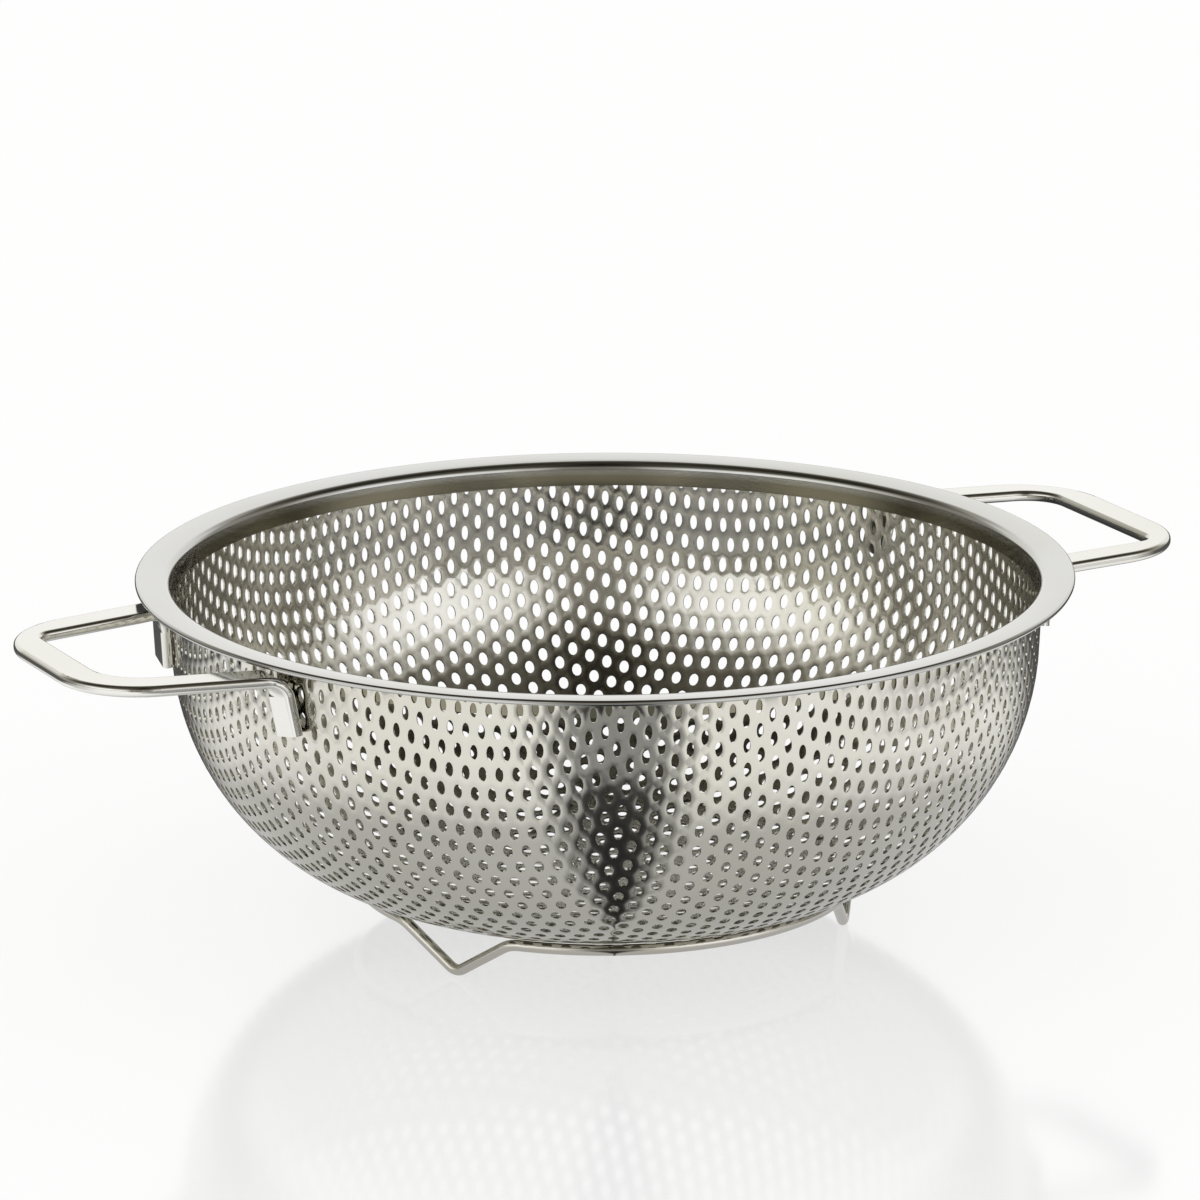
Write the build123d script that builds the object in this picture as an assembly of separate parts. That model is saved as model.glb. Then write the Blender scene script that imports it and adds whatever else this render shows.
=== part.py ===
from build123d import *
import math
import os

# A stainless steel colander. The origin is on the worktop under the bowl's axis,
# +Z is up and the two handles lie along X. All lengths are in millimetres.

# Overall sizes
rim_diameter = 250.0
rim_height = 96.5

# Sheet that the bowl and the rim ring are pressed from
sheet_thickness = 0.5

# Bowl, measured on its outside
mouth_radius = 116.2
wall_draft_angle = 2.5
wall_corner_radius = 69.0
crown_radius = 330.0
base_height = 6.4

# Perforation: round holes punched in a staggered pattern before the sheet is drawn.
# Only one row in every few of the real sheet's rows is cut.
hole_diameter = 3.0
hole_pitch = 5.11
rows_per_cut_row = 4
first_cut_row = 2
pattern_angle = 17.2
drawing_shrink = 0.2074
drawing_relief = 0.0855
plain_band_height = 3.0

# Rim ring: a flange that rises outwards, an inner collar and a hem under the edge
flange_slope_angle = 4.5
flange_bend_radius = 2.2
collar_depth = 7.1
hem_length = 3.0

# Handles: flat strap, bent round at the outer corners and down at the bowl
handle_span = 326.0
handle_drop = 3.95
strap_width = 9.8
strap_thickness = 3.0
strap_edge_radius = 1.3
leg_bend_radius = 4.0
leg_face_angle = 8.0
leg_lean_angle = 6.0
leg_tilt_angle = 11.0
leg_length = 10.5
leg_middle_drop = 15.9

# Hand-bent sides of the handles, anticlockwise side first: leg's azimuth, how far the arm
# closes in towards the bar, and the roundness of the corner's outer and inner edge
right_handle_sides = ((21.2, 10.0, 1.24, 0.63), (17.0, 3.5, 1.22, 0.32))
left_handle_sides = ((17.4, 10.8, 1.32, 1.05), (17.4, 7.4, 1.27, 0.32))

# Stand: one closed loop of wire with three bent feet
wire_diameter = 3.0
stand_ring_radius = 66.6
foot_count = 3
first_foot_azimuth = 85.0
foot_slope_angle = 32.0
foot_tip_bend_radius = 4.0
foot_top_bend_radius = 8.0
foot_flat_depth = 0.15

# Clearances and helpers
weld_clearance = 0.15
cut_overrun = 2.0
bend_sections = 9
search_steps = 40

# Places that follow from the sizes above
rim_radius = rim_diameter / 2
hem_radius = 3 * sheet_thickness / 2
wire_radius = wire_diameter / 2


def polar(angle):
    """Unit vector in the section plane, at an angle from the outward direction."""
    return Vector(math.cos(math.radians(angle)), 0, math.sin(math.radians(angle)))


# Section plane: X is the radius and Z the height
flange_out = polar(flange_slope_angle)
flange_up = polar(flange_slope_angle + 90)
wall_down = polar(-90 - wall_draft_angle)
wall_in = polar(180 - wall_draft_angle)
bend_out = (flange_up + wall_in).normalized()

hem_centre = Vector(rim_radius - hem_radius, 0, rim_height - hem_radius)
bend_axis_radius = mouth_radius - (flange_bend_radius - 2 * sheet_thickness) * wall_in.X
flange_length = (hem_centre.X - bend_axis_radius + (flange_bend_radius - hem_radius) * flange_up.X)
flange_length = flange_length / flange_out.X
bend_axis = hem_centre - flange_up * (flange_bend_radius - hem_radius) - flange_out * flange_length


def on_wall(depth, down):
    """Point of the wall at a depth into the sheets, a distance down from the rim's bend."""
    return bend_axis + wall_in * (flange_bend_radius - depth) + wall_down * down


def on_flange(depth, out):
    """Point of the flange at a depth into the sheets, a distance out from the rim's bend."""
    return bend_axis + flange_up * (flange_bend_radius - depth) + flange_out * out


def on_bend(depth):
    """Middle of the rim's bend at a depth into the sheets."""
    return bend_axis + bend_out * (flange_bend_radius - depth)


# The bowl's profile is a drafted wall, a corner arc and a flatter crown arc, all tangent
bowl_face_depth = 2 * sheet_thickness
wall_top = on_wall(bowl_face_depth, 0)
crown_centre = Vector(0, 0, base_height + crown_radius)


def corner_arc():
    """Centre of the corner arc and the length of straight wall above it."""
    start = wall_top + wall_in * wall_corner_radius - crown_centre
    along = start.dot(wall_down)
    reach = crown_radius - wall_corner_radius
    length = -along - math.sqrt(along**2 - start.dot(start) + reach**2)
    if length < 0:
        length = -along + math.sqrt(along**2 - start.dot(start) + reach**2)
    return crown_centre + start + wall_down * length, length


corner_centre, wall_length = corner_arc()
crown_to_corner = (corner_centre - crown_centre).normalized()
crown_angle = math.degrees(math.atan2(crown_to_corner.X, -crown_to_corner.Z))
corner_angle = 90 - wall_draft_angle - crown_angle
crown_run = math.radians(crown_angle) * crown_radius
corner_run = math.radians(corner_angle) * wall_corner_radius
whole_run = crown_run + corner_run + wall_length


def profile(offset):
    """Edges of the bowl's profile from its wall's top to its axis, moved out by an offset."""
    top = wall_top - wall_in * offset
    wall_foot = top + wall_down * wall_length
    corner_end = crown_centre + crown_to_corner * (crown_radius + offset)
    corner_mid = corner_centre + polar(-wall_draft_angle - corner_angle / 2) * (
        wall_corner_radius + offset
    )
    crown_mid = crown_centre + polar(crown_angle / 2 - 90) * (crown_radius + offset)
    crown_end = crown_centre + polar(-90) * (crown_radius + offset)
    return [
        Line(top, wall_foot),
        ThreePointArc(wall_foot, corner_mid, corner_end),
        ThreePointArc(corner_end, crown_mid, crown_end),
    ]


def profile_place(distance):
    """Point of the outer profile and its outward direction, at a distance from the centre."""
    if distance < crown_run:
        out = polar(math.degrees(distance / crown_radius) - 90)
        return crown_centre + out * crown_radius, out
    if distance < crown_run + corner_run:
        turned = math.degrees((distance - crown_run) / wall_corner_radius)
        out = polar(crown_angle + turned - 90)
        return corner_centre + out * wall_corner_radius, out
    foot = corner_centre - wall_in * wall_corner_radius
    return foot - wall_down * (distance - crown_run - corner_run), -wall_in


def height_under_bowl(radius, offset):
    """Height of the surface that lies an offset outside the bowl, at a radius."""
    if radius < crown_to_corner.X * (crown_radius + offset):
        return crown_centre.Z - math.sqrt((crown_radius + offset) ** 2 - radius**2)
    across = radius - corner_centre.X
    return corner_centre.Z - math.sqrt((wall_corner_radius + offset) ** 2 - across**2)


def make_bowl():
    """Perforated bowl, with a flange that turns out under the rim ring."""
    outer = profile(0)
    inner = profile(-sheet_thickness)
    rim_edges = [
        Line(inner[-1] @ 1, outer[-1] @ 1),
        ThreePointArc(outer[0] @ 0, on_bend(bowl_face_depth), on_flange(bowl_face_depth, 0)),
        Line(on_flange(bowl_face_depth, 0), on_flange(bowl_face_depth, flange_length)),
        Line(on_flange(bowl_face_depth, flange_length), on_flange(sheet_thickness, flange_length)),
        Line(on_flange(sheet_thickness, flange_length), on_flange(sheet_thickness, 0)),
        ThreePointArc(on_flange(sheet_thickness, 0), on_bend(sheet_thickness), inner[0] @ 0),
    ]
    section = make_face(outer + inner + rim_edges)
    return revolve(section, Axis.Z) - make_hole_cutters()


def flat_radius(distance):
    """Radius in the flat sheet of the metal that ends a distance from the bowl's centre."""
    share = distance / whole_run
    return distance * (1 - drawing_shrink * share**2 + drawing_relief * share**4)


def drawn_distance(radius):
    """Distance from the bowl's centre at which the metal from a flat radius ends."""
    low, high = 0.0, whole_run
    for _ in range(search_steps):
        middle = (low + high) / 2
        if flat_radius(middle) < radius:
            low = middle
        else:
            high = middle
    return low


def make_hole_cutters():
    """Round cutters square to the bowl, where the flat sheet's holes end up."""
    pitch = hole_pitch * rows_per_cut_row
    row_step = pitch * math.sin(math.radians(60))
    rows = math.ceil(flat_radius(whole_run) / row_step)
    depth = sheet_thickness + 2 * cut_overrun
    cutters = []
    for row in range(-rows, rows + 1):
        for column in range(-2 * rows, 2 * rows + 1):
            rows_up = row + first_cut_row / rows_per_cut_row
            across = pitch * (column + rows_up / 2)
            along = row_step * rows_up
            distance = drawn_distance(math.hypot(across, along))
            if distance > whole_run - plain_band_height:
                continue
            point, out = profile_place(distance)
            start = Plane(point + out * cut_overrun, z_dir=-out)
            cutter = Solid.make_cylinder(hole_diameter / 2, depth, start)
            azimuth = math.degrees(math.atan2(along, across)) + pattern_angle
            cutters.append(cutter.rotate(Axis.Z, azimuth))
    return cutters


def make_rim_ring():
    """Rim ring: inner collar, flange and a hem that closes over the bowl's flange."""
    s = sheet_thickness
    collar_down = (rim_height - collar_depth - on_wall(0, 0).Z) / wall_down.Z
    under = 3 * sheet_thickness
    hem_start = flange_length - hem_length
    edges = [
        Line(on_wall(0, collar_down), on_wall(0, 0)),
        ThreePointArc(on_wall(0, 0), on_bend(0), on_flange(0, 0)),
        Line(on_flange(0, 0), on_flange(0, flange_length)),
        ThreePointArc(
            on_flange(0, flange_length),
            hem_centre + flange_out * hem_radius,
            on_flange(under, flange_length),
        ),
        Line(on_flange(under, flange_length), on_flange(under, hem_start)),
        Line(on_flange(under, hem_start), on_flange(2 * s, hem_start)),
        Line(on_flange(2 * s, hem_start), on_flange(2 * s, flange_length)),
        ThreePointArc(
            on_flange(2 * s, flange_length),
            hem_centre + flange_out * (hem_radius - s),
            on_flange(s, flange_length),
        ),
        Line(on_flange(s, flange_length), on_flange(s, 0)),
        ThreePointArc(on_flange(s, 0), on_bend(s), on_wall(s, 0)),
        Line(on_wall(s, 0), on_wall(s, collar_down)),
        Line(on_wall(s, collar_down), on_wall(0, collar_down)),
    ]
    return revolve(make_face(edges), Axis.Z)


def strap_section(centre, along, across):
    """Strap's cross-section, square to its run, with its width lying across."""
    plane = Plane(origin=centre, x_dir=across, z_dir=along)
    return plane * RectangleRounded(strap_width, strap_thickness, strap_edge_radius)


def turn(first, second, share):
    """Unit vector a share of the way round from one unit vector to another."""
    whole = math.acos(max(-1.0, min(1.0, first.dot(second))))
    return (
        first * math.sin((1 - share) * whole) + second * math.sin(share * whole)
    ) / math.sin(whole)


def make_half_handle(leg_azimuth, closing, outer_roundness, inner_roundness):
    """Half of a +X handle, on its +Y side: half the bar, an arm, its bend and its leg."""
    face = math.radians(leg_face_angle)
    face_out = Vector(math.cos(face), math.sin(face), 0)
    face_side = Vector(-math.sin(face), math.cos(face), 0)
    lean = face_out * -math.tan(math.radians(leg_lean_angle))
    tilt = face_side * math.tan(math.radians(leg_tilt_angle))
    leg_along = (Vector(0, 0, -1) + lean + tilt).normalized()
    leg_out = (face_out - leg_along * face_out.dot(leg_along)).normalized()
    leg_across = leg_out.cross(leg_along)
    reach = handle_span / 2 - mouth_radius
    splay = math.atan(closing / reach)
    arm_along = Vector(-math.cos(splay), math.sin(splay), 0)
    arm_across = Vector(math.sin(splay), math.cos(splay), 0)

    # The leg's rounded inner edge rests on the wall, half way down the leg
    fall = (rim_height - leg_middle_drop - wall_top.Z) / wall_down.Z
    wall_point = wall_top + wall_down * fall
    edge_radius = wall_point.X + strap_edge_radius + weld_clearance
    azimuth = math.radians(leg_azimuth)
    edge = Vector(edge_radius * math.cos(azimuth), edge_radius * math.sin(azimuth), wall_point.Z)
    leg_middle = edge + leg_out * (strap_thickness / 2 - strap_edge_radius)
    leg_middle += leg_across * (strap_width / 2 - strap_edge_radius)
    leg_start = leg_middle - leg_along * (leg_length / 2)

    # The bend turns the arm's run into the leg's, and twists the strap to the leg's face
    mid_radius = leg_bend_radius + strap_thickness / 2
    half_turn = math.acos(arm_along.dot(leg_along)) / 2
    arm_end = leg_start - (arm_along + leg_along) * (mid_radius * math.tan(half_turn))
    lift = Vector(0, 0, rim_height - handle_drop - strap_thickness / 2 - arm_end.Z)
    arm_end += lift
    leg_start += lift
    to_centre = (leg_along - arm_along * arm_along.dot(leg_along)).normalized()
    bend_centre = arm_end + to_centre * mid_radius
    sections = []
    for step in range(bend_sections):
        share = step / (bend_sections - 1)
        run = turn(arm_along, leg_along, share)
        side = (arm_across * (1 - share) + leg_across * share).normalized()
        side = (side - run * side.dot(run)).normalized()
        inward = turn(to_centre, (bend_centre - leg_start).normalized(), share)
        sections.append(strap_section(bend_centre - inward * mid_radius, run, side))
    bend = loft(sections)
    leg = extrude(strap_section(leg_start, leg_along, leg_across), leg_length)

    # Half of the bar, the corner and the arm lie in one level plane
    under = arm_end.Z - strap_thickness / 2
    half_span = handle_span / 2

    def side_line(bar_face, shift, roundness):
        end = arm_end + arm_across * shift
        corner_y = end.Y + (bar_face - end.X) * arm_along.Y / arm_along.X
        arm_length = bar_face - end.X
        radius = roundness * arm_length * corner_y / (arm_length + corner_y)
        corner = (bar_face, corner_y, under)
        return FilletPolyline((bar_face, 0, under), corner, (end.X, end.Y, under), radius=radius)

    outer = side_line(half_span, strap_width / 2, outer_roundness)
    inner = side_line(half_span - strap_width, -strap_width / 2, inner_roundness)
    outline = outer.edges() + inner.edges() + [Line(outer @ 0, inner @ 0), Line(outer @ 1, inner @ 1)]
    arm = extrude(make_face(outline), strap_thickness, dir=(0, 0, 1))
    levels = arm.edges().group_by(Axis.Z)
    ends = ((outer @ 0 + inner @ 0) / 2, (outer @ 1 + inner @ 1) / 2)
    long_edges = []
    for edge in levels[0] + levels[-1]:
        if min((edge.center() - end).length for end in ends) > strap_thickness * 1.5:
            long_edges.append(edge)
    return fillet(long_edges, strap_edge_radius) + bend + leg


def make_handle(sides):
    """Handle on the +X side: a strap whose two legs are welded to the bowl by one edge."""
    first, second = sides
    handle = make_half_handle(*first) + mirror(make_half_handle(*second), Plane.XZ)
    return handle.clean()


def make_stand():
    """Wire stand: a ring under the bowl that dips into three bent feet."""
    ring_level = height_under_bowl(stand_ring_radius, wire_radius + weld_clearance)
    tip_level = wire_radius - foot_flat_depth
    drop = ring_level - tip_level
    slope = math.radians(foot_slope_angle)
    tip_run = foot_tip_bend_radius * math.sin(slope)
    tip_rise = foot_tip_bend_radius * (1 - math.cos(slope))
    spread = 0.0

    # The foot's half angle on the ring and the top bend's length depend on each other
    for _ in range(search_steps):
        top_turn = math.acos(math.cos(slope) * math.cos(spread))
        top_reach = foot_top_bend_radius * math.tan(top_turn / 2)
        run = (drop - tip_rise) / math.tan(slope) + tip_run + top_reach * math.cos(spread)
        spread = math.asin(run / stand_ring_radius)

    def ring_point(angle):
        return Vector(
            stand_ring_radius * math.sin(angle), stand_ring_radius * math.cos(angle), ring_level
        )

    ring_run = Vector(math.cos(spread), math.sin(spread), 0)
    foot_run = Vector(math.cos(slope), 0, -math.sin(slope))
    top_start = ring_point(-spread)
    top_end = top_start + (ring_run + foot_run) * top_reach
    plane_y = top_end.Y
    tip_start = Vector(-tip_run, plane_y, tip_level + tip_rise)
    tip_end = Vector(tip_run, plane_y, tip_level + tip_rise)
    lowest = Vector(0, plane_y, tip_level)
    half_gap = math.pi / foot_count
    first = ring_point(-half_gap)
    edges = [
        ThreePointArc(first, ring_point(-(half_gap + spread) / 2), top_start),
        TangentArc(top_start, top_end, tangent=ring_run),
        Line(top_end, tip_start),
        ThreePointArc(tip_start, lowest, tip_end),
    ]
    path = Wire(edges + [edge.mirror(Plane.YZ) for edge in edges[:3]])
    foot = sweep(Plane(origin=first, z_dir=path.tangent_at(0)) * Circle(wire_radius), path=path)
    from_top = (Align.CENTER, Align.CENTER, Align.MAX)
    under_floor = Box(rim_diameter, rim_diameter, rim_height, align=from_top)
    spins = [first_foot_azimuth - 90 + foot * 360 / foot_count for foot in range(foot_count)]
    feet = [Rotation(0, 0, spin) * foot for spin in spins]
    return Part() + feet - under_floor


def main():
    """Write one STEP file for each piece of the colander."""
    left = Rotation(0, 0, 180) * make_handle(left_handle_sides)
    parts = {
        "perforated_bowl": make_bowl(),
        "rim_ring": make_rim_ring(),
        "right_handle": make_handle(right_handle_sides),
        "left_handle": left,
        "wire_stand": make_stand(),
    }
    os.makedirs("parts", exist_ok=True)
    for name, shape in parts.items():
        export_step(shape, f"parts/{name}.step")


if __name__ == "__main__":
    main()
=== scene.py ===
import bisect
import math

import bmesh
import bpy
from bpy.props import FloatProperty, FloatVectorProperty, IntProperty, PointerProperty
from mathutils import Matrix, Vector


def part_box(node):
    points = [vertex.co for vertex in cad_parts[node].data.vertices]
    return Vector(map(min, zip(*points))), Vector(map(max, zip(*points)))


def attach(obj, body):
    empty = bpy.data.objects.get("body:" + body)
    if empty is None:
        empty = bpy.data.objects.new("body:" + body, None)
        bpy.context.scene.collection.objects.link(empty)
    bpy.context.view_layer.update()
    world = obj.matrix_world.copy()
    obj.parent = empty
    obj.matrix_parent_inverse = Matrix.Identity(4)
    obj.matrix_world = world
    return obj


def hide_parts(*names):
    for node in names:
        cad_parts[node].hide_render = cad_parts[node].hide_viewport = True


bl_info = {
    "name": "Steel Colander",
    "version": (1, 0, 0),
    "blender": (4, 5, 0),
    "location": "View3D > Sidebar > Colander",
    "description": "Dresses the packed colander: perforated bowl, rim ring, steel finishes and stage",
    "category": "Object",
}

# Roughness between and on the grain's lines, grains per metre, and how strongly the grain stands out
drawn_satin = {"roughness": (0.1, 0.17), "grain": 900, "relief": 0.04}
formed_bright = {"roughness": (0.06, 0.1), "grain": 500, "relief": 0.01}
tumbled_strap = {"roughness": (0.08, 0.13), "grain": 420, "relief": 0.015}
drawn_wire = {"roughness": (0.08, 0.14), "grain": 600, "relief": 0.015}

# Edges that bend more than this are shaded sharp
sharp_angle = math.radians(40)

# Corners of the bowl that are one, and slivers, as shares of the pitch
merged_share = 0.01
sliver_share = 0.005

# How far a corner may lie from a hole's edge and still belong to it, as a share of the hole's radius
edge_share = 0.1

# Corners of the rim ring that are one, as a share of its sheet
ring_merged_share = 0.02

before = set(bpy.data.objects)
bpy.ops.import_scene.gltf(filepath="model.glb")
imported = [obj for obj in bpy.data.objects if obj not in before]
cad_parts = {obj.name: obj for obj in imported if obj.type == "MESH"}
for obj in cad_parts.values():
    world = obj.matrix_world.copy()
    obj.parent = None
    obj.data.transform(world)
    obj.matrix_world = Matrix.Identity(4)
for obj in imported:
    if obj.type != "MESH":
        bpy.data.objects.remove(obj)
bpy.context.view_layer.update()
bowl_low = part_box("perforated_bowl")[0]
rim_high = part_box("rim_ring")[1]


class ColanderSizes(bpy.types.PropertyGroup):
    """Sizes of the sheet pieces, in metres and radians."""

    sheet: FloatProperty(
        name="Sheet", description="Thickness of both sheets", default=0.0005, unit="LENGTH"
    )
    mouth_radius: FloatProperty(
        name="Mouth radius",
        description="Outer radius of the bowl's wall at its top",
        default=0.1162,
        unit="LENGTH",
    )
    wall_draft: FloatProperty(
        name="Wall draft",
        description="Lean of the wall from upright",
        default=math.radians(2.5),
        unit="ROTATION",
    )
    corner_radius: FloatProperty(
        name="Corner radius",
        description="Profile radius between wall and base",
        default=0.069,
        unit="LENGTH",
    )
    crown_radius: FloatProperty(
        name="Crown radius", description="Profile radius of the base", default=0.33, unit="LENGTH"
    )
    flange_slope: FloatProperty(
        name="Flange slope",
        description="Rise of the flange outwards",
        default=math.radians(4.5),
        unit="ROTATION",
    )
    flange_bend: FloatProperty(
        name="Flange bend",
        description="Radius of the rim ring's inner bend",
        default=0.0022,
        unit="LENGTH",
    )
    collar_depth: FloatProperty(
        name="Collar depth",
        description="Drop of the inner collar below the rim",
        default=0.0071,
        unit="LENGTH",
    )
    hem_length: FloatProperty(
        name="Hem length",
        description="Width of the folded hem under the flange",
        default=0.003,
        unit="LENGTH",
    )


class ColanderPattern(bpy.types.PropertyGroup):
    """The holes, as punched in the flat sheet before it was drawn."""

    hole_diameter: FloatProperty(
        name="Hole diameter",
        description="Diameter of a hole in the flat sheet",
        default=0.003,
        unit="LENGTH",
    )
    pitch: FloatProperty(
        name="Pitch",
        description="Distance between neighbouring holes",
        default=0.00511,
        unit="LENGTH",
    )
    turn: FloatProperty(
        name="Turn",
        description="Turn of the pattern about the axis",
        default=math.radians(17.2),
        unit="ROTATION",
    )
    hole_sides: IntProperty(
        name="Hole sides", description="Corners on each hole's edge", default=12, min=12, max=24
    )
    drawing_shrink: FloatProperty(
        name="Drawing shrink",
        description="How far the sheet's rim is drawn in",
        default=0.2074,
        subtype="FACTOR",
    )
    drawing_relief: FloatProperty(
        name="Drawing relief",
        description="How far that eases towards the rim",
        default=0.0855,
        subtype="FACTOR",
    )
    stretch: FloatProperty(
        name="Hole stretch",
        description="Extra height of the holes at the rim",
        default=0.08,
        subtype="FACTOR",
    )
    squeeze: FloatProperty(
        name="Hole squeeze",
        description="Extra narrowing of the holes at the rim",
        default=0.34,
        subtype="FACTOR",
    )
    dimple: FloatProperty(
        name="Dimple",
        description="How far the sheet sinks at a hole's edge",
        default=0.00016,
        unit="LENGTH",
    )


class ColanderFinish(bpy.types.PropertyGroup):
    """Colours and smoothness of the steel, and the painted shade on the rim ring's collar."""

    sheet_colour: FloatVectorProperty(
        name="Sheet colour",
        description="Steel of the bowl",
        default=(0.6, 0.585, 0.54),
        subtype="COLOR",
    )
    rim_colour: FloatVectorProperty(
        name="Rim colour",
        description="Steel of the rim ring",
        default=(0.53, 0.53, 0.525),
        subtype="COLOR",
    )
    strap_colour: FloatVectorProperty(
        name="Strap colour",
        description="Steel of the handles",
        default=(0.7, 0.69, 0.665),
        subtype="COLOR",
    )
    wire_colour: FloatVectorProperty(
        name="Wire colour",
        description="Steel of the stand",
        default=(0.64, 0.62, 0.58),
        subtype="COLOR",
    )
    # Painted shade that darkens the rim ring's collar below its inner bend
    collar_painted_shade: FloatVectorProperty(
        name="Collar painted shade",
        description="Shade on the rim ring's collar",
        default=(0.42, 0.39, 0.3),
        subtype="COLOR",
    )


class ColanderStage(bpy.types.PropertyGroup):
    """Camera, floor and studio light."""

    camera_place: FloatVectorProperty(
        name="Camera place",
        description="Where the camera stands",
        default=(-0.87992, -1.71795, 0.62591),
        subtype="TRANSLATION",
    )
    camera_turn: FloatVectorProperty(
        name="Camera turn",
        description="How the camera is turned",
        default=(1.299015, 0.003596, -0.473653),
        subtype="EULER",
    )
    lens: FloatProperty(
        name="Lens", description="Focal length on a 36 mm sensor", default=225.55, unit="CAMERA"
    )
    floor_radius: FloatProperty(
        name="Floor radius", description="Radius of the floor", default=6, unit="LENGTH"
    )
    gap_bearing: FloatProperty(
        name="Gap bearing",
        description="Direction of the dark gap between the two light screens",
        default=math.radians(245),
        unit="ROTATION",
    )


def polar(angle):
    """Unit vector in the section plane: X is the radius and Y the height."""
    return Vector((math.cos(angle), math.sin(angle)))


class Section:
    """The bowl's and the rim ring's section, from their named sizes."""

    def __init__(self, sizes):
        self.sheet = sizes.sheet
        self.flange_out = polar(sizes.flange_slope)
        self.flange_up = polar(sizes.flange_slope + math.pi / 2)
        self.wall_down = polar(-math.pi / 2 - sizes.wall_draft)
        self.wall_in = polar(math.pi - sizes.wall_draft)
        self.bend = sizes.flange_bend
        # The fold's radius takes in the ring's own sheet and half of the bowl's
        self.hem = 1.5 * self.sheet
        self.hem_centre = Vector((rim_high.x - self.hem, rim_high.z - self.hem))
        bend_x = sizes.mouth_radius - (self.bend - 2 * self.sheet) * self.wall_in.x
        rise = self.flange_up * (self.bend - self.hem)
        self.flange_length = (self.hem_centre.x - bend_x + rise.x) / self.flange_out.x
        self.bend_axis = self.hem_centre - rise - self.flange_out * self.flange_length
        self.crown_radius = sizes.crown_radius
        self.corner_radius = sizes.corner_radius
        self.draft = sizes.wall_draft
        self.crown_centre = Vector((0, bowl_low.z + self.crown_radius))
        wall_top = self.on_wall(2 * self.sheet, 0)
        start = wall_top + self.wall_in * self.corner_radius - self.crown_centre
        along = start.dot(self.wall_down)
        reach = self.crown_radius - self.corner_radius
        half_chord = math.sqrt(along**2 - start.dot(start) + reach**2)
        nearer = -along - half_chord
        self.wall_length = nearer if nearer > 0 else -along + half_chord
        self.corner_centre = self.crown_centre + start + self.wall_down * self.wall_length
        to_corner = self.corner_centre - self.crown_centre
        self.crown_angle = math.atan2(to_corner.x, -to_corner.y)
        self.crown_run = self.crown_angle * self.crown_radius
        self.corner_run = (math.pi / 2 - self.draft - self.crown_angle) * self.corner_radius
        self.wall_run = self.crown_run + self.corner_run + self.wall_length
        self.bend_angle = math.pi / 2 - self.draft - sizes.flange_slope
        self.bend_run = self.bend_angle * (self.bend - 2 * self.sheet)
        self.whole_run = self.wall_run + self.bend_run + self.flange_length

    def on_wall(self, depth, down):
        """Point of the wall at a depth into the sheets, a distance down from the bend."""
        return self.bend_axis + self.wall_in * (self.bend - depth) + self.wall_down * down

    def on_flange(self, depth, out):
        """Point of the flange at a depth into the sheets, a distance out from the bend."""
        return self.bend_axis + self.flange_up * (self.bend - depth) + self.flange_out * out

    def bowl_place(self, run):
        """Point and outward normal of the bowl's outer face, a distance from its centre."""
        if run < self.crown_run:
            out = polar(run / self.crown_radius - math.pi / 2)
            return self.crown_centre + out * self.crown_radius, out
        if run < self.crown_run + self.corner_run:
            out = polar(self.crown_angle + (run - self.crown_run) / self.corner_radius - math.pi / 2)
            return self.corner_centre + out * self.corner_radius, out
        if run < self.wall_run:
            return self.on_wall(2 * self.sheet, self.wall_run - run), -self.wall_in
        if run < self.wall_run + self.bend_run:
            turned = (run - self.wall_run) / self.bend_run * self.bend_angle
            inward = polar(math.pi - self.draft - turned)
            return self.bend_axis + inward * (self.bend - 2 * self.sheet), -inward
        return self.on_flange(2 * self.sheet, run - self.wall_run - self.bend_run), -self.flange_up


class DrawnSheet:
    """How the flat perforated sheet is drawn into the bowl."""

    steps = 800

    def __init__(self, section, pattern):
        self.section = section
        runs = [section.whole_run * step / self.steps for step in range(self.steps + 1)]
        self.runs = runs
        self.blank = [self.flat_radius(run, pattern) for run in runs]

    def flat_radius(self, run, pattern):
        """Radius on the flat sheet of the metal that ends a distance from the bowl's centre."""
        share = run / self.section.wall_run
        return run * (1 - pattern.drawing_shrink * share**2 + pattern.drawing_relief * share**4)

    def place(self, flat):
        """Place and outward normal on the bowl of a point of the flat sheet."""
        radius = math.hypot(flat.x, flat.y)
        index = min(max(bisect.bisect_right(self.blank, radius), 1), self.steps)
        low, high = self.blank[index - 1], self.blank[index]
        share = min(max((radius - low) / (high - low), 0), 1)
        run = self.runs[index - 1] + (self.runs[index] - self.runs[index - 1]) * share
        point, out = self.section.bowl_place(run)
        across = Vector((flat.x, flat.y, 0)).normalized() if radius > 0 else Vector((1, 0, 0))
        return across * point.x + Vector((0, 0, point.y)), across * out.x + Vector((0, 0, out.y))


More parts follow.
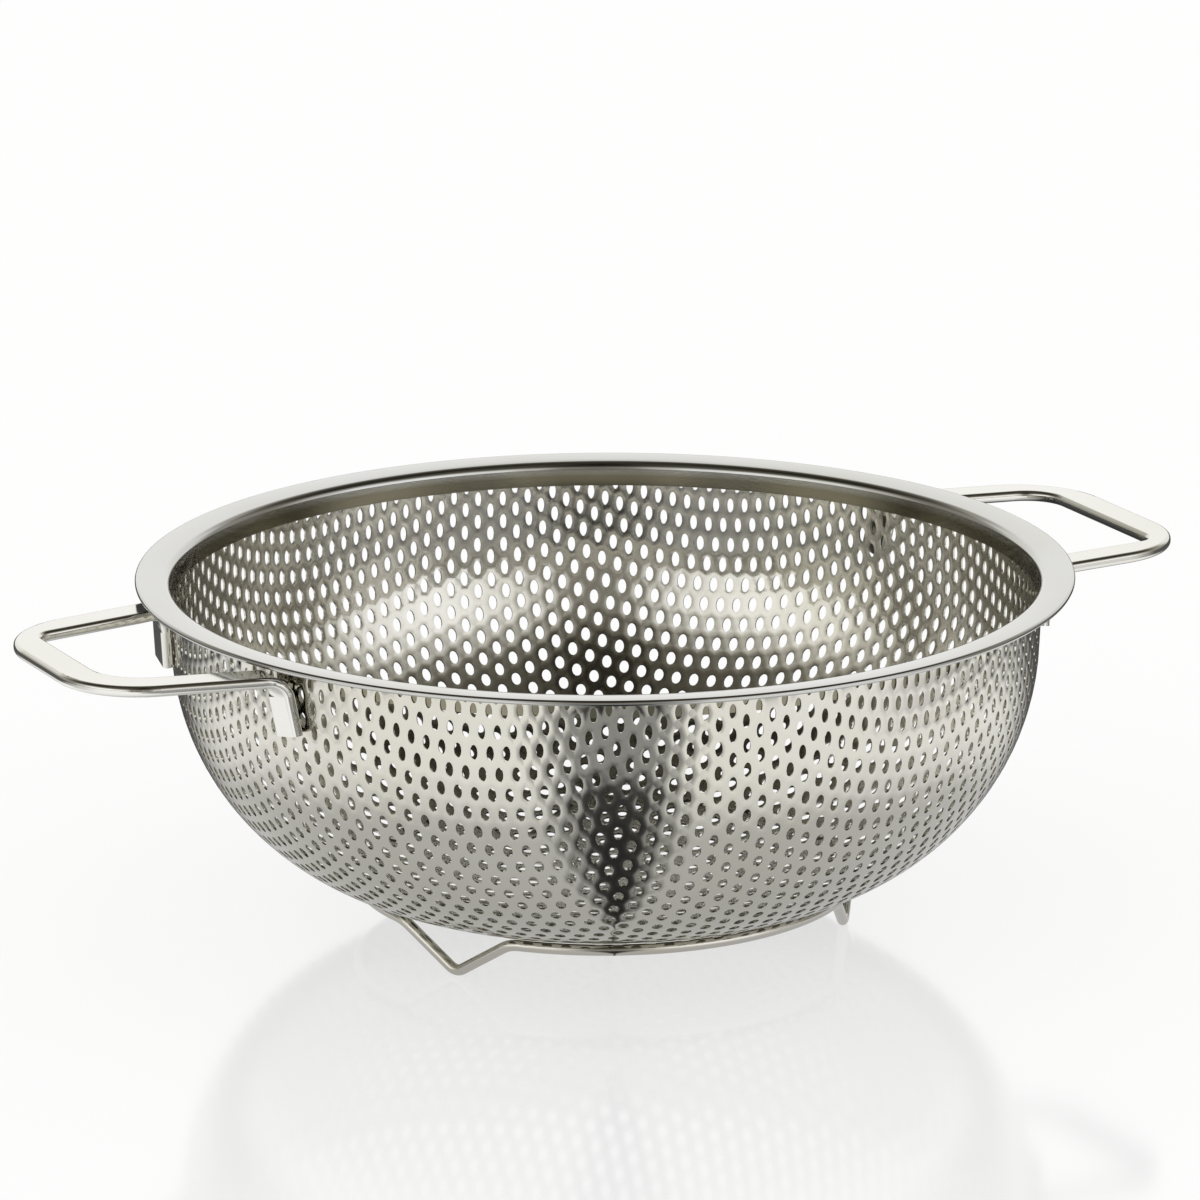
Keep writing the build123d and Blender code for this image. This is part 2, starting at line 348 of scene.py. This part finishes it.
def steel(name, colour, roughness, grain, relief):
    """Steel finish: a tinted metal with fine grain in its roughness and surface."""
    clouds_per_metre = 14
    cloud_detail = 3
    grain_detail = 4
    grain_depth = 0.0001
    noise_low, noise_high = 0.3, 0.7
    cloud_shade = (0.94, 0.94, 0.88)
    clouded = [part * share for part, share in zip(colour, cloud_shade)]

    material = bpy.data.materials.new(name)
    material.use_nodes = True
    nodes, links = material.node_tree.nodes, material.node_tree.links
    nodes.clear()
    output = nodes.new("ShaderNodeOutputMaterial")
    shader = nodes.new("ShaderNodeBsdfPrincipled")
    links.new(shader.outputs["BSDF"], output.inputs["Surface"])
    shader.inputs["Metallic"].default_value = 1
    place = nodes.new("ShaderNodeTexCoord")

    cloud = nodes.new("ShaderNodeTexNoise")
    cloud.inputs["Scale"].default_value = clouds_per_metre
    cloud.inputs["Detail"].default_value = cloud_detail
    links.new(place.outputs["Object"], cloud.inputs["Vector"])
    ramp = nodes.new("ShaderNodeValToRGB")
    ramp.color_ramp.elements[0].position = noise_low
    ramp.color_ramp.elements[1].position = noise_high
    ramp.color_ramp.elements[0].color = (*clouded, 1)
    ramp.color_ramp.elements[1].color = (*colour, 1)
    links.new(cloud.outputs["Fac"], ramp.inputs["Fac"])
    links.new(ramp.outputs["Color"], shader.inputs["Base Color"])

    lines = nodes.new("ShaderNodeTexNoise")
    lines.inputs["Scale"].default_value = grain
    lines.inputs["Detail"].default_value = grain_detail
    links.new(place.outputs["Object"], lines.inputs["Vector"])
    spread = nodes.new("ShaderNodeMapRange")
    spread.inputs["From Min"].default_value = noise_low
    spread.inputs["From Max"].default_value = noise_high
    spread.inputs["To Min"].default_value = roughness[0]
    spread.inputs["To Max"].default_value = roughness[1]
    links.new(lines.outputs["Fac"], spread.inputs["Value"])
    links.new(spread.outputs["Result"], shader.inputs["Roughness"])
    bump = nodes.new("ShaderNodeBump")
    bump.inputs["Strength"].default_value = relief
    bump.inputs["Distance"].default_value = grain_depth
    links.new(lines.outputs["Fac"], bump.inputs["Height"])
    links.new(bump.outputs["Normal"], shader.inputs["Normal"])
    return material


def paint_shade_below(material, height, blend, shade):
    """Painted shade: darken a steel finish below a height, over a blend of so many metres."""
    tree = material.node_tree
    base = next(node for node in tree.nodes if node.type == "BSDF_PRINCIPLED").inputs["Base Color"]
    unshaded = base.links[0].from_socket
    place = tree.nodes.new("ShaderNodeTexCoord")
    parts = tree.nodes.new("ShaderNodeSeparateXYZ")
    tree.links.new(place.outputs["Object"], parts.inputs["Vector"])
    rise = tree.nodes.new("ShaderNodeMapRange")
    rise.inputs["From Min"].default_value = height - blend / 2
    rise.inputs["From Max"].default_value = height + blend / 2
    tree.links.new(parts.outputs["Z"], rise.inputs["Value"])
    ramp = tree.nodes.new("ShaderNodeValToRGB")
    ramp.color_ramp.elements[0].color = (*shade, 1)
    ramp.color_ramp.elements[1].color = (1, 1, 1, 1)
    tree.links.new(rise.outputs["Result"], ramp.inputs["Fac"])
    tree.links.new(multiply_shades(tree, unshaded, ramp.outputs["Color"]), base)


def finish_piece(name, bm, material):
    """Object from a finished bmesh, smooth but for its sharp edges."""
    for face in bm.faces:
        face.smooth = True
    for edge in bm.edges:
        if len(edge.link_faces) != 2 or edge.calc_face_angle() > sharp_angle:
            edge.smooth = False
    mesh = bpy.data.meshes.new(name)
    bm.to_mesh(mesh)
    bm.free()
    mesh.materials.append(material)
    piece = bpy.data.objects.new(name, mesh)
    bpy.context.scene.collection.objects.link(piece)
    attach(piece, "root")
    return piece


def row_height(pitch):
    """Distance between the rows of the staggered pattern."""
    return pitch * math.sin(math.pi / 3)


def repeat_cells(bm, pitch, count):
    """Fill a staggered sheet with copies of the cell at the origin, doubling each time."""
    row = Vector((pitch, 0, 0))
    rise = Vector((pitch / 2, row_height(pitch), 0))
    for step in (row, rise):
        made = 1
        while made < count:
            copied = bmesh.ops.duplicate(bm, geom=bm.verts[:] + bm.edges[:] + bm.faces[:])
            verts = [item for item in copied["geom"] if isinstance(item, bmesh.types.BMVert)]
            bmesh.ops.translate(bm, vec=step * made, verts=verts)
            made *= 2
        bmesh.ops.translate(bm, vec=-step * (made // 2), verts=bm.verts[:])


def cell_of(point, pitch):
    """Centre of the staggered cell that holds a point of the flat sheet."""
    down = point.y / row_height(pitch)
    side = point.x / pitch - down / 2
    third = -side - down
    near = [round(side), round(down), round(third)]
    miss = [abs(near[0] - side), abs(near[1] - down), abs(near[2] - third)]
    worst = miss.index(max(miss))
    near[worst] -= sum(near)
    return Vector((pitch * (near[0] + near[1] / 2), row_height(pitch) * near[1], 0))


def flat_cells(pattern, holed, count):
    """Staggered sheet of six-sided cells, each with its hole or plain."""
    bm = bmesh.new()
    corner = pattern.pitch / math.sqrt(3)
    bmesh.ops.create_circle(bm, segments=6, radius=corner, cap_ends=not holed)
    if holed:
        hole_radius = pattern.hole_diameter / 2
        bmesh.ops.create_circle(bm, segments=pattern.hole_sides, radius=hole_radius, cap_ends=False)
        bmesh.ops.bridge_loops(bm, edges=bm.edges[:])
        bmesh.ops.triangulate(bm, faces=bm.faces[:], quad_method="SHORT_EDGE")
    repeat_cells(bm, pattern.pitch, count)
    return bm


def punched_sheet(pattern, edge_radius, hole_limit):
    """Flat round sheet: punched cells up to the hole limit and plain cells beyond it."""
    margin = 1.2
    rows = 2 * edge_radius / row_height(pattern.pitch)
    count = 2 ** math.ceil(math.log2(rows * margin))
    whole = bmesh.new()
    for holed in (True, False):
        cells = flat_cells(pattern, holed, count)
        spare = []
        for face in cells.faces:
            has_hole = cell_of(face.calc_center_median(), pattern.pitch).length < hole_limit
            beyond = min(vert.co.length for vert in face.verts) >= edge_radius
            if has_hole != holed or beyond:
                spare.append(face)
        bmesh.ops.delete(cells, geom=spare, context="FACES")
        part = bpy.data.meshes.new("flat_cells")
        cells.to_mesh(part)
        cells.free()
        whole.from_mesh(part)
        bpy.data.meshes.remove(part)
    bmesh.ops.remove_doubles(whole, verts=whole.verts[:], dist=pattern.pitch * merged_share)
    return whole


def reshaped_hole(offset, centre, pattern, hole_limit):
    """A hole's corner, from its centre: taller and narrower with the cube of its place's radius."""
    share = (centre.length / hole_limit) ** 3
    out = centre.normalized()
    across = Vector((-out.y, out.x, 0))
    taller = out * offset.dot(out) * (1 + pattern.stretch * share)
    return taller + across * offset.dot(across) / (1 + pattern.squeeze * share)


def draw_in(whole, pattern, drawn, edge_radius, hole_limit):
    """Move every corner of the flat sheet to its place on the bowl."""
    spin = Matrix.Rotation(pattern.turn, 4, "Z")
    hole_radius = pattern.hole_diameter / 2
    for vert in whole.verts:
        flat = vert.co.copy()
        centre = cell_of(flat, pattern.pitch)
        at_hole = abs((flat - centre).length - hole_radius) < hole_radius * edge_share
        if at_hole and centre.length > 0:
            flat = centre + reshaped_hole(flat - centre, centre, pattern, hole_limit)
        if flat.length > edge_radius:
            flat = flat.normalized() * edge_radius
        point, normal = drawn.place(flat)
        if at_hole:
            point -= normal * pattern.dimple
        vert.co = spin @ point


class COLANDER_OT_bowl(bpy.types.Operator):
    """Build the drawn bowl with every punched hole"""

    bl_idname = "colander.bowl"
    bl_label = "Perforated Bowl"

    def execute(self, context):
        pattern = context.scene.colander_pattern
        section = Section(context.scene.colander_sizes)
        drawn = DrawnSheet(section, pattern)
        edge_radius = drawn.blank[-1]
        hole_limit = drawn.flat_radius(section.wall_run, pattern)

        whole = punched_sheet(pattern, edge_radius, hole_limit)
        draw_in(whole, pattern, drawn, edge_radius, hole_limit)
        bmesh.ops.remove_doubles(whole, verts=whole.verts[:], dist=pattern.pitch * merged_share)
        bmesh.ops.dissolve_degenerate(whole, edges=whole.edges[:], dist=pattern.pitch * sliver_share)
        bmesh.ops.recalc_face_normals(whole, faces=whole.faces[:])
        lowest = min(whole.faces, key=lambda face: face.calc_center_median().z)
        if lowest.normal.z > 0:
            bmesh.ops.reverse_faces(whole, faces=whole.faces[:])
        bmesh.ops.solidify(whole, geom=whole.faces[:], thickness=section.sheet)

        material = steel("drawn_satin_steel", context.scene.colander_finish.sheet_colour, **drawn_satin)
        piece = finish_piece("perforated_bowl_sheet", whole, material)
        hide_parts("perforated_bowl")
        return {"FINISHED"}


class COLANDER_OT_rim(bpy.types.Operator):
    """Spin the rim ring with its collar, flange and rolled hem"""

    bl_idname = "colander.rim"
    bl_label = "Rim Ring"

    arc_steps = 8
    spin_steps = 288

    def arc(self, centre, radius, start, sweep):
        """Points of an arc in the section plane, turning clockwise from its start."""
        steps = range(self.arc_steps + 1)
        return [centre + polar(start - sweep * step / self.arc_steps) * radius for step in steps]

    def execute(self, context):
        sizes = context.scene.colander_sizes
        finish = context.scene.colander_finish
        section = Section(sizes)
        sheet = section.sheet
        collar = (rim_high.z - sizes.collar_depth - section.on_wall(0, 0).y) / section.wall_down.y
        hem_start = section.flange_length - sizes.hem_length
        bend_start = math.pi - section.draft
        fold_start = math.pi / 2 + sizes.flange_slope

        line = [section.on_wall(0, collar)]
        line += self.arc(section.bend_axis, section.bend, bend_start, section.bend_angle)
        line += self.arc(section.hem_centre, section.hem, fold_start, math.pi)
        line += [section.on_flange(3 * sheet, hem_start), section.on_flange(2 * sheet, hem_start)]
        line += self.arc(section.hem_centre, section.hem - sheet, fold_start, math.pi)[::-1]
        line += self.arc(section.bend_axis, section.bend - sheet, bend_start, section.bend_angle)[::-1]
        line += [section.on_wall(sheet, collar)]

        bm = bmesh.new()
        verts = [bm.verts.new((point.x, 0, point.y)) for point in line]
        edges = [bm.edges.new((a, b)) for a, b in zip(verts, verts[1:] + verts[:1])]
        bmesh.ops.spin(
            bm,
            geom=verts + edges,
            axis=(0, 0, 1),
            cent=(0, 0, 0),
            steps=self.spin_steps,
            angle=2 * math.pi,
            use_merge=True,
        )
        bmesh.ops.remove_doubles(bm, verts=bm.verts[:], dist=sheet * ring_merged_share)
        bmesh.ops.recalc_face_normals(bm, faces=bm.faces[:])
        material = steel("formed_rim_steel", finish.rim_colour, **formed_bright)
        # Painted shade on the collar, from one and a half bends under the rim's top, blended over one
        # bend
        paint_shade_below(material, rim_high.z - 1.5 * section.bend, section.bend, finish.collar_painted_shade)
        piece = finish_piece("rim_ring_sheet", bm, material)
        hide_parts("rim_ring")
        return {"FINISHED"}


class COLANDER_OT_handles(bpy.types.Operator):
    """Finish the two strap handles"""

    bl_idname = "colander.handles"
    bl_label = "Strap Handles"

    def execute(self, context):
        colour = context.scene.colander_finish.strap_colour
        material = steel("tumbled_strap_steel", colour, **tumbled_strap)
        for name in ("right_handle", "left_handle"):
            give_finish(name, material)
        return {"FINISHED"}


class COLANDER_OT_stand(bpy.types.Operator):
    """Finish the wire stand"""

    bl_idname = "colander.stand"
    bl_label = "Wire Stand"

    def execute(self, context):
        colour = context.scene.colander_finish.wire_colour
        material = steel("drawn_wire_steel", colour, **drawn_wire)
        give_finish("wire_stand", material)
        return {"FINISHED"}


def give_finish(node, material):
    """Give a carried-over solid its finish."""
    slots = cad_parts[node].material_slots
    if not slots:
        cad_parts[node].data.materials.append(material)
    for slot in slots:
        slot.material = material


class COLANDER_OT_stage(bpy.types.Operator):
    """Set the camera, the pale floor and the studio light"""

    bl_idname = "colander.stage"
    bl_label = "Stage"

    sensor_width = 36
    clip_start, clip_end = 0.01, 100
    floor_sides = 64

    def execute(self, context):
        scene = context.scene
        settings = scene.colander_stage
        camera_data = bpy.data.cameras.new("photo_camera")
        camera_data.sensor_width = self.sensor_width
        camera_data.lens = settings.lens
        camera_data.clip_start, camera_data.clip_end = self.clip_start, self.clip_end
        camera = bpy.data.objects.new("photo_camera", camera_data)
        camera.location = settings.camera_place
        camera.rotation_euler = settings.camera_turn
        scene.collection.objects.link(camera)
        scene.camera = camera

        bm = bmesh.new()
        radius = settings.floor_radius
        bmesh.ops.create_circle(bm, segments=self.floor_sides, radius=radius, cap_ends=True)
        mesh = bpy.data.meshes.new("floor")
        bm.to_mesh(mesh)
        bm.free()
        mesh.materials.append(floor_finish(settings.gap_bearing))
        floor = bpy.data.objects.new("floor", mesh)
        scene.collection.objects.link(floor)

        scene.world = studio_world(settings.gap_bearing)
        scene.view_settings.view_transform = "Standard"
        return {"FINISHED"}


def shade_ramp(tree, value, shades, warmth=0):
    """Ramp over a value, from pairs of place and grey shade. Warmth turns its dark shades brown."""
    ramp = tree.nodes.new("ShaderNodeValToRGB")
    ramp.color_ramp.interpolation = "EASE"
    elements = ramp.color_ramp.elements
    elements[0].position, elements[1].position = shades[0][0], shades[-1][0]
    for place, _ in shades[1:-1]:
        elements.new(place)
    for element, (_, shade) in zip(elements, shades):
        element.color = (shade, shade ** (1 + warmth / 4), shade ** (1 + warmth), 1)
    tree.links.new(value, ramp.inputs["Fac"])
    return ramp.outputs["Color"]


def calculate(tree, operation, first, second=0):
    """Math node on a socket and, where it needs one, a second socket or number."""
    node = tree.nodes.new("ShaderNodeMath")
    node.operation = operation
    tree.links.new(first, node.inputs[0])
    if isinstance(second, (int, float)):
        node.inputs[1].default_value = second
    else:
        tree.links.new(second, node.inputs[1])
    return node.outputs["Value"]


def turned_place(tree, output, bearing):
    """A coordinate, turned so that X points along a bearing, and its angle from X by half turns."""
    place = tree.nodes.new("ShaderNodeTexCoord")
    turn = tree.nodes.new("ShaderNodeMapping")
    turn.vector_type = "POINT"
    turn.inputs["Rotation"].default_value = (0, 0, -bearing)
    tree.links.new(place.outputs[output], turn.inputs["Vector"])
    parts = tree.nodes.new("ShaderNodeSeparateXYZ")
    tree.links.new(turn.outputs["Vector"], parts.inputs["Vector"])
    angle = calculate(tree, "ARCTAN2", parts.outputs["Y"], parts.outputs["X"])
    return parts, calculate(tree, "DIVIDE", calculate(tree, "ABSOLUTE", angle), math.pi)


def multiply_shades(tree, first, second):
    """Two shades multiplied."""
    node = tree.nodes.new("ShaderNodeVectorMath")
    node.operation = "MULTIPLY"
    tree.links.new(first, node.inputs[0])
    tree.links.new(second, node.inputs[1])
    return node.outputs["Vector"]


def floor_finish(bearing):
    """White floor with a soft shadow and a faint mirror image. Steel's reflections see it emit painted
    light and shade: a painted shadow round the bowl, painted shade away from the gap's bearing, and a
    painted dark wedge from the bowl towards that bearing.
    """
    painted_glow_strength = 1.26
    self_lit = 0.78
    gloss = 0.17
    gloss_roughness = 0.1
    # The painted dark wedge starts this far in front of the axis, and its least length keeps the sum
    # finite
    wedge_start, least_length = 0.072, 0.001
    # Pairs of a distance in metres and a shade: the painted shadow round the bowl, where the painted side
    # shade is lifted near the bowl, and how the painted wedge is lightened far out
    painted_shadow_ramp = ((0.05, 0.45), (0.14, 0.55), (0.2, 0.85), (0.26, 0.97), (0.4, 1.0))
    near = ((0.28, 1.0), (0.42, 0.0))
    far_gap = ((0.18, 0.0), (0.32, 0.32))
    # Pairs of a share of a half turn and a shade: the painted shade away from the gap's bearing, and the
    # bearings where it is lifted near the bowl
    sides = ((0.3, 1.0), (0.42, 0.7), (0.5, 0.4), (0.58, 0.1), (1.0, 0.05))
    behind = ((0.55, 1.0), (0.76, 0.0))
    # Pairs of the painted dark wedge's slope and a shade
    gap = ((0.0, 0.045), (0.15, 0.07), (0.3, 0.5), (0.5, 1.0))

    material = bpy.data.materials.new("white_floor_with_painted_glow")
    material.use_nodes = True
    tree = material.node_tree
    nodes, links = tree.nodes, tree.links
    nodes.clear()
    output = nodes.new("ShaderNodeOutputMaterial")
    rays = nodes.new("ShaderNodeLightPath")
    camera, glossy = rays.outputs["Is Camera Ray"], rays.outputs["Is Glossy Ray"]

    parts, around = turned_place(tree, "Object", bearing)
    flat = nodes.new("ShaderNodeCombineXYZ")
    links.new(parts.outputs["X"], flat.inputs["X"])
    links.new(parts.outputs["Y"], flat.inputs["Y"])
    length = nodes.new("ShaderNodeVectorMath")
    length.operation = "LENGTH"
    links.new(flat.outputs["Vector"], length.inputs[0])
    away = length.outputs["Value"]
    across = calculate(tree, "ABSOLUTE", parts.outputs["Y"])
    before_bowl = calculate(tree, "SUBTRACT", parts.outputs["X"], wedge_start)
    slope = calculate(tree, "DIVIDE", across, calculate(tree, "MAXIMUM", before_bowl, least_length))
    close = calculate(tree, "MULTIPLY", shade_ramp(tree, away, near), shade_ramp(tree, around, behind))
    painted_side_shade = calculate(tree, "MAXIMUM", shade_ramp(tree, around, sides), close)
    before = calculate(tree, "MAXIMUM", shade_ramp(tree, slope, gap), shade_ramp(tree, away, far_gap))
    # Painted light and shade on the floor, seen only in steel's reflections
    painted_light = multiply_shades(tree, shade_ramp(tree, away, painted_shadow_ramp), painted_side_shade)
    painted_light_and_wedge = multiply_shades(tree, painted_light, before)

    matt = nodes.new("ShaderNodeBsdfDiffuse")
    matt.inputs["Color"].default_value = (1, 1, 1, 1)
    white = nodes.new("ShaderNodeEmission")
    # Emission for glossy rays only: the floor shows the painted light and shade
    painted_glow = nodes.new("ShaderNodeEmission")
    painted_glow.inputs["Strength"].default_value = painted_glow_strength
    links.new(painted_light_and_wedge, painted_glow.inputs["Color"])
    seen = nodes.new("ShaderNodeMixShader")
    links.new(calculate(tree, "MULTIPLY", camera, self_lit), seen.inputs["Fac"])
    links.new(matt.outputs["BSDF"], seen.inputs[1])
    links.new(white.outputs["Emission"], seen.inputs[2])
    mirror = nodes.new("ShaderNodeBsdfGlossy")
    mirror.inputs["Roughness"].default_value = gloss_roughness
    polished = nodes.new("ShaderNodeMixShader")
    links.new(calculate(tree, "MULTIPLY", camera, gloss), polished.inputs["Fac"])
    links.new(seen.outputs["Shader"], polished.inputs[1])
    links.new(mirror.outputs["BSDF"], polished.inputs[2])
    blend = nodes.new("ShaderNodeMixShader")
    links.new(glossy, blend.inputs["Fac"])
    links.new(polished.outputs["Shader"], blend.inputs[1])
    links.new(painted_glow.outputs["Emission"], blend.inputs[2])
    links.new(blend.outputs["Shader"], output.inputs["Surface"])
    return material


def studio_world(bearing):
    """White backdrop, and for steel two low light screens with a dark gap, under a dark ceiling."""
    screen_strength = 1.4
    warmth = 0.12
    # Pairs of a share of a half turn and a shade
    screens = (
        (0.0, 0.2),
        (0.045, 0.25),
        (0.1, 0.58),
        (0.15, 0.86),
        (0.25, 1.0),
        (0.38, 0.9),
        (0.46, 0.55),
        (0.56, 0.24),
        (0.7, 0.3),
        (0.8, 0.75),
        (1.0, 0.85),
    )
    # Pairs of a height, as a share of straight up, and a shade
    height = (
        (0.0, 0.1),
        (0.035, 0.15),
        (0.075, 1.0),
        (0.4, 1.0),
        (0.57, 0.5),
        (0.7, 0.15),
        (0.82, 0.08),
        (1.0, 0.05),
    )

    world = bpy.data.worlds.new("studio")
    world.use_nodes = True
    tree = world.node_tree
    nodes, links = tree.nodes, tree.links
    nodes.clear()
    output = nodes.new("ShaderNodeOutputWorld")
    parts, around = turned_place(tree, "Generated", bearing)
    room = nodes.new("ShaderNodeBackground")
    room.inputs["Strength"].default_value = screen_strength
    sideways = shade_ramp(tree, around, screens, warmth)
    upwards = shade_ramp(tree, parts.outputs["Z"], height, warmth)
    shades = multiply_shades(tree, sideways, upwards)
    links.new(shades, room.inputs["Color"])
    backdrop = nodes.new("ShaderNodeBackground")
    backdrop.inputs["Color"].default_value = (1, 1, 1, 1)
    rays = nodes.new("ShaderNodeLightPath")
    choose = nodes.new("ShaderNodeMixShader")
    links.new(rays.outputs["Is Glossy Ray"], choose.inputs["Fac"])
    links.new(backdrop.outputs["Background"], choose.inputs[1])
    links.new(room.outputs["Background"], choose.inputs[2])
    links.new(choose.outputs["Shader"], output.inputs["Surface"])
    return world


class COLANDER_PT_panel(bpy.types.Panel):
    """Lists the colander's pieces in the sidebar"""

    bl_idname = "COLANDER_PT_panel"
    bl_label = "Colander"
    bl_space_type = "VIEW_3D"
    bl_region_type = "UI"
    bl_category = "Colander"

    def draw(self, context):
        for operator in operators:
            self.layout.operator(operator.bl_idname)


operators = (COLANDER_OT_bowl, COLANDER_OT_rim, COLANDER_OT_handles, COLANDER_OT_stand, COLANDER_OT_stage)
groups = {
    "colander_sizes": ColanderSizes,
    "colander_pattern": ColanderPattern,
    "colander_finish": ColanderFinish,
    "colander_stage": ColanderStage,
}


def register():
    for item in (*groups.values(), *operators, COLANDER_PT_panel):
        bpy.utils.register_class(item)
    for name, group in groups.items():
        setattr(bpy.types.Scene, name, PointerProperty(type=group))


def unregister():
    for name in groups:
        delattr(bpy.types.Scene, name)
    for item in (COLANDER_PT_panel, *reversed(operators), *reversed(groups.values())):
        bpy.utils.unregister_class(item)


def main():
    register()
    bpy.ops.colander.bowl()
    bpy.ops.colander.rim()
    bpy.ops.colander.handles()
    bpy.ops.colander.stand()
    bpy.ops.colander.stage()


if __name__ == "__main__":
    main()
